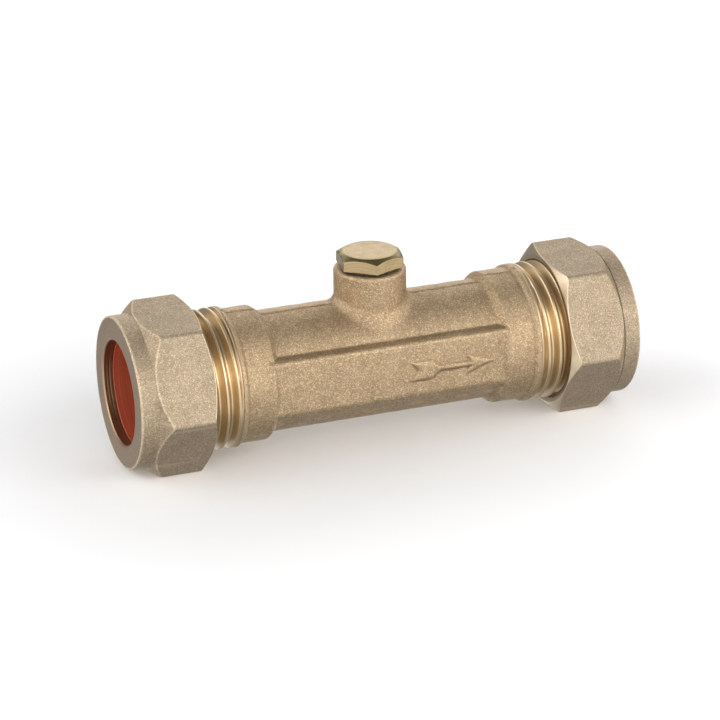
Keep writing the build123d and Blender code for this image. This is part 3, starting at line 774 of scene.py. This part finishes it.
def make_nut(side):
    """A compression nut: forged hexagon and collar, turned faces and lip, internal thread."""
    vertex = NUT_VERTEX_ANGLE[side]
    phase = PHASES[side] + PITCH / 2
    phi = angles_round_hexagon(vertex, steps=30)
    hexagon = hexagon_radius(phi, vertex, NUT_APOTHEM, NUT_EDGE_ROUND)
    rows, kinds = [], []
    forged, turned, lip, threaded, bright, worn_and_highlit, shaded_crease = range(7)

    def add(u, rho, kind):
        rows.append(on_flow_axis(side, u, rho, phi))
        kinds.append(kind)

    # outside: the turned chamfer at the back, the forged flats, the front chamfer and the collar
    climb = (hexagon - NUT_SHOULDER_RADIUS) / (NUT_ENVELOPE - NUT_SHOULDER_RADIUS)
    flat_start = NUT_BACK + climb * NUT_BACK_CHAMFER
    flat_end = NUT_COLLAR_START - climb * NUT_FRONT_CHAMFER
    corners = [
        (NUT_BACK, NUT_ROOT + 0.3),
        (NUT_BACK, NUT_SHOULDER_RADIUS),
        (flat_start, hexagon),
        (flat_end, hexagon),
        (NUT_COLLAR_START, NUT_COLLAR_RADIUS),
        (NUT_FRONT, NUT_COLLAR_RADIUS),
        (NUT_FRONT, NUT_COLLAR_RADIUS - 2 * NUT_RIM),
    ]
    # place 4.5, the rim where the collar meets the front face, is lightened on both nuts as a painted
    # highlight with some wear
    finish = {0: turned, 0.5: bright, 1: bright, 1.5: bright, 4.5: worn_and_highlit, 5: turned, 6: turned}
    # the inlet nut's edge where its flats meet the front chamfer is lightened, a painted highlight with
    # some rubbed wear, and the outlet nut is darkened with painted shade where that chamfer meets the
    # collar
    if side == "inlet":
        finish[2.5] = worn_and_highlit
    else:
        finish[3.5] = shaded_crease
    for place, u, rho in rounded_profile(corners, NUT_CORNER_CUTS, phi):
        add(u, rho, finish.get(place, forged))
    for rho in stations((NUT_COLLAR_RADIUS - 2 * NUT_RIM - 0.2, NUT_LIP_BORE + 0.24, 0.3)):
        add(NUT_FRONT, rho, turned)
    add(NUT_FRONT - 0.02, NUT_LIP_BORE + 0.20, lip)
    add(NUT_FRONT - 0.12, NUT_LIP_BORE + 0.04, lip)
    lip_start = NUT_FRONT - NUT_LIP
    for u in stations((NUT_FRONT - 0.18, lip_start + 0.04, 0.05)):
        groove = 0.0
        for place, depth in NUT_LIP_GROOVES:
            groove += depth * np.exp(-(((u - lip_start - place) / NUT_LIP_GROOVE_WIDTH) ** 2))
        add(u, NUT_LIP_BORE + groove, lip)
    add(lip_start, NUT_LIP_BORE + 0.04, lip)
    add(lip_start, NUT_SEAT_RADIUS, lip)
    add(lip_start - NUT_SEAT_DEPTH, NUT_RELIEF_BORE, threaded)
    add(NUT_THREAD_END + 0.05, NUT_RELIEF_BORE, threaded)
    fine = PITCH / 20
    blend = 0.06
    mouth_radius = NUT_ROOT + 0.05
    for u in stations((NUT_THREAD_END, NUT_BACK + 0.05, fine)):
        radius = thread_radius(u, phi, phase, PITCH, NUT_CREST, NUT_ROOT, NUT_THREAD_ROUND)
        mouth = mouth_radius - (u - NUT_BACK) * (mouth_radius - NUT_CREST) / NUT_MOUTH_CHAMFER
        past = NUT_RUN_OUT - (NUT_THREAD_END - u)
        far = NUT_CREST - 0.1 + past * (NUT_ROOT - NUT_CREST) / NUT_RUN_OUT
        radius = soft_max(radius, np.full_like(phi, mouth), blend)
        radius = soft_max(radius, np.full_like(phi, min(far, NUT_ROOT)), blend)
        add(u, radius, threaded)
    add(NUT_BACK, NUT_ROOT + 0.06, turned)
    materials = [NUT_BRASS, FACE_BRASS, LIP_BRASS, THREAD_BRASS, CHAMFER_BRASS, EDGE_WEAR_HIGHLIGHT_BRASS, CREASE_SHADE_BRASS]
    return ring_piece(f"{side}_compression_nut", rows, materials, kinds)


def make_olive(side):
    """A copper compression ring: straight bore, coned ends and a rounded crown."""
    around = 144
    phi = np.arange(around) / around * 2 * pi
    rim, bore = 7.88, 7.575
    apex, crown_blend = OLIVE_CROWN + 0.1, 0.2
    middle = (OLIVE_BACK + OLIVE_FRONT) / 2
    half = (OLIVE_FRONT - OLIVE_BACK) / 2
    rows = [on_flow_axis(side, OLIVE_BACK, rho, phi) for rho in (bore + 0.05, rim - 0.03)]
    for offset in stations((-half + 0.04, half - 0.04, 0.25)):
        cone = apex - (apex - rim) * abs(offset) / half
        rows.append(on_flow_axis(side, middle + offset, soft_min(cone, OLIVE_CROWN, crown_blend), phi))
    front_row = len(rows)
    rows.append(on_flow_axis(side, OLIVE_FRONT, rim - 0.03, phi))
    rows.append(on_flow_axis(side, OLIVE_FRONT, bore + 0.05, phi))
    for offset in stations((half - 0.05, -half + 0.05, 0.5)):
        rows.append(on_flow_axis(side, middle + offset, bore, phi))
    plain, bright = range(2)
    kinds = [plain] * len(rows)
    # the front rim row takes the paler copper, a painted highlight along the edge
    kinds[front_row] = bright
    return ring_piece(f"{side}_copper_olive", rows, [COPPER_IN_SHADE, COPPER_RIM_HIGHLIGHT], kinds)


# ---------------------------------------------------------------- test point and springs

def make_plug():
    """The hexagon-headed test plug with its M6 shank."""
    phi = angles_round_hexagon(PLUG_VERTEX_ANGLE, steps=16)
    corner_round, blend = 0.1, 0.05
    hexagon = hexagon_radius(phi, PLUG_VERTEX_ANGLE, PLUG_APOTHEM, corner_round)
    rows = [on_boss_axis(PLUG_TIP, 0.0, phi), on_boss_axis(PLUG_TIP, PLUG_ROOT - 0.2, phi)]
    phase = PORT_BOTTOM - PLUG_PITCH / 2
    thread_end = PLUG_TIP + PLUG_THREAD_LENGTH
    for z in stations((PLUG_TIP + 0.15, thread_end, PLUG_PITCH / 16)):
        radius = thread_radius(z, phi, phase, PLUG_PITCH, PLUG_CREST, PLUG_ROOT, PLUG_THREAD_ROUND)
        lead = PLUG_ROOT + (z - PLUG_TIP - 0.1) * PLUG_LEAD
        run_out = PLUG_ROOT + (thread_end - z) * PLUG_LEAD
        rows.append(on_boss_axis(z, soft_min(soft_min(radius, lead, blend), run_out, blend), phi))
    rows.append(on_boss_axis(PLUG_HEAD_BOTTOM, PLUG_ROOT, phi))
    neck = PLUG_CREST + 0.1
    for share in (0.0, 0.5, 0.97):
        rows.append(on_boss_axis(PLUG_HEAD_BOTTOM, neck * (1 - share) + hexagon * share, phi))
    edge = PLUG_TOP - (hexagon - PLUG_TOP_RADIUS) * tan(PLUG_CHAMFER)
    low = PLUG_HEAD_BOTTOM + 0.06
    for share in (0.0, 0.08, 0.35, 0.65, 0.92, 1.0):
        rows.append(on_boss_axis(low + (edge - 0.03 - low) * share, hexagon, phi))
    side_rows = len(rows)
    for share in (0.03, 0.5, 0.96):
        rho = hexagon + (PLUG_TOP_RADIUS - hexagon) * share
        rows.append(on_boss_axis(PLUG_TOP - (rho - PLUG_TOP_RADIUS) * tan(PLUG_CHAMFER), rho, phi))
    chamfer_rows = len(rows) - side_rows
    for rho in (PLUG_TOP_RADIUS - 0.03, 3.2, 2.2, 1.2, 0.4, 0.0):
        rows.append(on_boss_axis(PLUG_TOP, rho, phi))
    # the top and the chamfer take darker copies of the plug's brass, as painted shade
    sides, top, chamfer = range(3)
    top_rows = len(rows) - side_rows - chamfer_rows
    kinds = [sides] * side_rows + [chamfer] * chamfer_rows + [top] * top_rows
    materials = [PLUG_BRASS, PLUG_TOP_SHADED_BRASS, PLUG_CHAMFER_SHADED_BRASS]
    return ring_piece("test_plug_hexagon", rows, materials, kinds, closed=False)


def make_plug_seal():
    """The ring under the plug's head."""
    around, steps = 96, 8
    phi = np.arange(around) / around * 2 * pi
    middle, half = (SEAL_LOW + SEAL_HIGH) / 2, (SEAL_HIGH - SEAL_LOW) / 2
    inner = PLUG_CREST + 0.12
    rows = [on_boss_axis(SEAL_LOW, inner, phi)]
    for step in range(steps + 1):
        turn = -pi / 2 + step / steps * pi
        rows.append(on_boss_axis(middle + half * sin(turn), SEAL_RADIUS - half + half * cos(turn), phi))
    rows.append(on_boss_axis(SEAL_HIGH, inner, phi))
    return ring_piece("test_plug_washer", rows, [RUBBER], [0] * len(rows))


def make_port_thread():
    """The tapped wall of the boss."""
    around, wall = 96, 0.3
    phi = np.arange(around) / around * 2 * pi
    phase = PORT_BOTTOM - PLUG_PITCH
    rows = [on_boss_axis(z, PORT_RADIUS + wall, phi) for z in (BOSS_TOP - 0.01, PORT_BOTTOM)]
    for z in stations((PORT_BOTTOM + 0.02, BOSS_TOP - 0.02, PLUG_PITCH / 16)):
        radius = thread_radius(z, phi, phase, PLUG_PITCH, PORT_CREST, PORT_RADIUS, PLUG_THREAD_ROUND)
        countersink = PORT_CREST + 0.7 - (BOSS_TOP - z)
        rows.append(on_boss_axis(z, soft_max(radius, np.full_like(phi, countersink), 0.05), phi))
    return ring_piece("test_port_thread", rows, [THREAD_BRASS], [0] * len(rows))


def make_spring(side):
    """A compression spring whose first and last turns lie flat."""
    steps, around = 400, 12
    start = CARTRIDGE_FACES[side] + POPPET_BACK + SPRING_WIRE / 2 + SPRING_CLEARANCE
    length = HUB_START - POPPET_BACK - SPRING_WIRE - 2 * SPRING_CLEARANCE
    closed_share, closed_turns = 0.16, 1.5
    dead = SPRING_WIRE * 0.4
    points, faces = [], []
    for i in range(steps + 1):
        t = i / steps
        rise = (t - closed_share) / (1 - 2 * closed_share)
        along = dead * min(1, t / closed_share) + (length - 2 * dead) * float(np.clip(rise, 0, 1))
        along += dead * max(0, (t - 1 + closed_share) / closed_share)
        angle = t * (SPRING_TURNS + closed_turns) * 2 * pi
        for k in range(around):
            turn = k / around * 2 * pi
            rho = SPRING_RADIUS + SPRING_WIRE / 2 * cos(turn)
            points.append((start + along + SPRING_WIRE / 2 * sin(turn), rho * sin(angle), rho * cos(angle)))
    for i in range(steps):
        for k in range(around):
            m = (k + 1) % around
            faces.append((i * around + k, i * around + m, (i + 1) * around + m, (i + 1) * around + k))
    faces.append(tuple(range(around)))
    faces.append(tuple(steps * around + k for k in range(around)))
    piece = mesh_object(f"{side}_coil_spring", points, faces, [STEEL])
    return finish_mesh(piece)


# ---------------------------------------------------------------- put the valve together

def build_valve():
    """Makes each piece, puts it on its body and hides the CAD node that it stands in for."""
    forging = make_forging()
    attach(forging, "valve")
    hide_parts("valve_body")
    port = make_port_thread()
    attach(port, "valve")
    for side in ("inlet", "outlet"):
        end = make_threaded_end(side)
        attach(end, "valve")
        nut = make_nut(side)
        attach(nut, f"{side}_nut_body")
        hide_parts(f"{side}_nut")
        olive = make_olive(side)
        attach(olive, f"{side}_olive_ring")
        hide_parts(f"{side}_olive")
        spring = make_spring(side)
        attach(spring, "valve")
        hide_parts(f"{side}_check_spring")
        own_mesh(spring)
    plug = make_plug()
    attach(plug, "plug")
    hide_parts("test_plug")
    washer = make_plug_seal()
    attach(washer, "plug_seal")
    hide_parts("test_plug_seal")


def paint_cartridges():
    """Gives the check cartridges, which keep their CAD shapes, their materials."""
    paint = {
        "check_housing": WHITE_PLASTIC,
        "check_oring": RUBBER,
        "check_poppet": BLUE_PLASTIC,
        "poppet_seal": RUBBER,
        "check_guide": WHITE_PLASTIC,
        "circlip": STEEL,
    }
    for side in ("inlet", "outlet"):
        for node, material in paint.items():
            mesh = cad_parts[f"{side}_{node}"].data
            mesh.materials.clear()
            mesh.materials.append(material)


# ---------------------------------------------------------------- studio

def make_floor():
    """A plain pale sheet under the nuts."""
    half = 1.2
    square = ((-half, -half), (half, -half), (half, half), (-half, half))
    corners = [(x, y, FLOOR_Z) for x, y in square]
    mesh = bpy.data.meshes.new("floor")
    mesh.from_pydata(corners, [], [(0, 1, 2, 3)])
    mesh.materials.append(floor_paper_painted_glow("floor_paper_painted_glow"))
    floor = bpy.data.objects.new("floor", mesh)
    bpy.context.scene.collection.objects.link(floor)
    # as if a dark card lay under the valve: the brass doesn't mirror the white paper
    floor.visible_glossy = False


def make_light(name, azimuth, elevation, distance, width, height, power):
    """A softbox that faces the valve. Azimuth 0 stands in front, on -Y, and turns towards +X."""
    a, e = radians(azimuth), radians(elevation)
    back = Vector((sin(a) * cos(e), -cos(a) * cos(e), sin(e)))
    data = bpy.data.lights.new(name, "AREA")
    data.shape = "RECTANGLE"
    data.size = width
    data.size_y = height
    data.energy = power
    light = bpy.data.objects.new(name, data)
    light.location = Vector((CENTRE_X, 0, 0)) + back * distance
    light.rotation_euler = back.to_track_quat("Z", "Y").to_euler()
    bpy.context.scene.collection.objects.link(light)


def make_sky():
    """A soft white room that is dark overhead, below and in the two corners behind."""
    world = bpy.data.worlds.new("studio")
    world.use_nodes = True
    tree = world.node_tree

    def ramp(value, start, end, to_end):
        node = tree.nodes.new("ShaderNodeMapRange")
        node.interpolation_type = "SMOOTHSTEP"
        node.inputs["From Min"].default_value = start
        node.inputs["From Max"].default_value = end
        node.inputs["To Min"].default_value = 1.0
        node.inputs["To Max"].default_value = to_end
        tree.links.new(value, node.inputs["Value"])
        return node.outputs["Result"]

    direction = tree.nodes.new("ShaderNodeTexCoord").outputs["Generated"]
    parts = tree.nodes.new("ShaderNodeSeparateXYZ")
    tree.links.new(direction, parts.inputs["Vector"])
    overhead = ramp(parts.outputs["Z"], start=0.50, end=0.80, to_end=0.18)
    below = ramp(parts.outputs["Z"], start=-0.42, end=-0.80, to_end=0.30)

    def corner(way):
        towards = tree.nodes.new("ShaderNodeVectorMath")
        towards.operation = "DOT_PRODUCT"
        tree.links.new(direction, towards.inputs[0])
        towards.inputs[1].default_value = way
        return ramp(towards.outputs["Value"], start=0.80, end=0.95, to_end=0.25)

    back_left, back_right = (-0.35, 0.93, -0.08), (0.87, 0.48, -0.1)
    level = overhead
    for part in (below, corner(back_left), corner(back_right)):
        product = tree.nodes.new("ShaderNodeMath")
        product.operation = "MULTIPLY"
        tree.links.new(level, product.inputs[0])
        tree.links.new(part, product.inputs[1])
        level = product.outputs["Value"]
    background = tree.nodes["Background"]
    tree.links.new(level, background.inputs["Strength"])
    brightness = 1.38
    background.inputs["Color"].default_value = (brightness, brightness, brightness, 1)
    bpy.context.scene.world = world


def make_camera():
    """The photograph's viewpoint: the way to the camera, how far off it is and where it looks."""
    azimuth, elevation, roll = radians(-21.09), radians(22.39), radians(-0.416)
    distance, aside, aloft = 468.9, -1.52, -0.845
    back = Vector((sin(azimuth) * cos(elevation), -cos(azimuth) * cos(elevation), sin(elevation)))
    right = Vector((cos(azimuth), sin(azimuth), 0))
    up = back.cross(right)
    across = right * cos(roll) + up * sin(roll)
    above = up * cos(roll) - right * sin(roll)
    place = back * distance + right * aside + up * aloft
    data = bpy.data.cameras.new("camera")
    data.sensor_width = 36.0
    data.lens = 158.1
    data.clip_start = 0.01
    camera = bpy.data.objects.new("camera", data)
    turn = Matrix((across, above, back)).transposed()
    camera.matrix_world = Matrix.Translation(Vector(in_frame(place))) @ turn.to_4x4()
    bpy.context.scene.collection.objects.link(camera)
    bpy.context.scene.camera = camera


make_camera()
build_valve()
paint_cartridges()
make_floor()
make_sky()
make_light("front_softbox", azimuth=25, elevation=30, distance=0.9, width=1.0, height=0.6, power=4.3)
make_light("left_softbox", azimuth=-92, elevation=31, distance=0.9, width=0.9, height=0.8, power=3.9)
make_light("back_panel", azimuth=155, elevation=30, distance=1.0, width=1.1, height=0.45, power=1.0)
bpy.context.scene.view_settings.view_transform = "Standard"
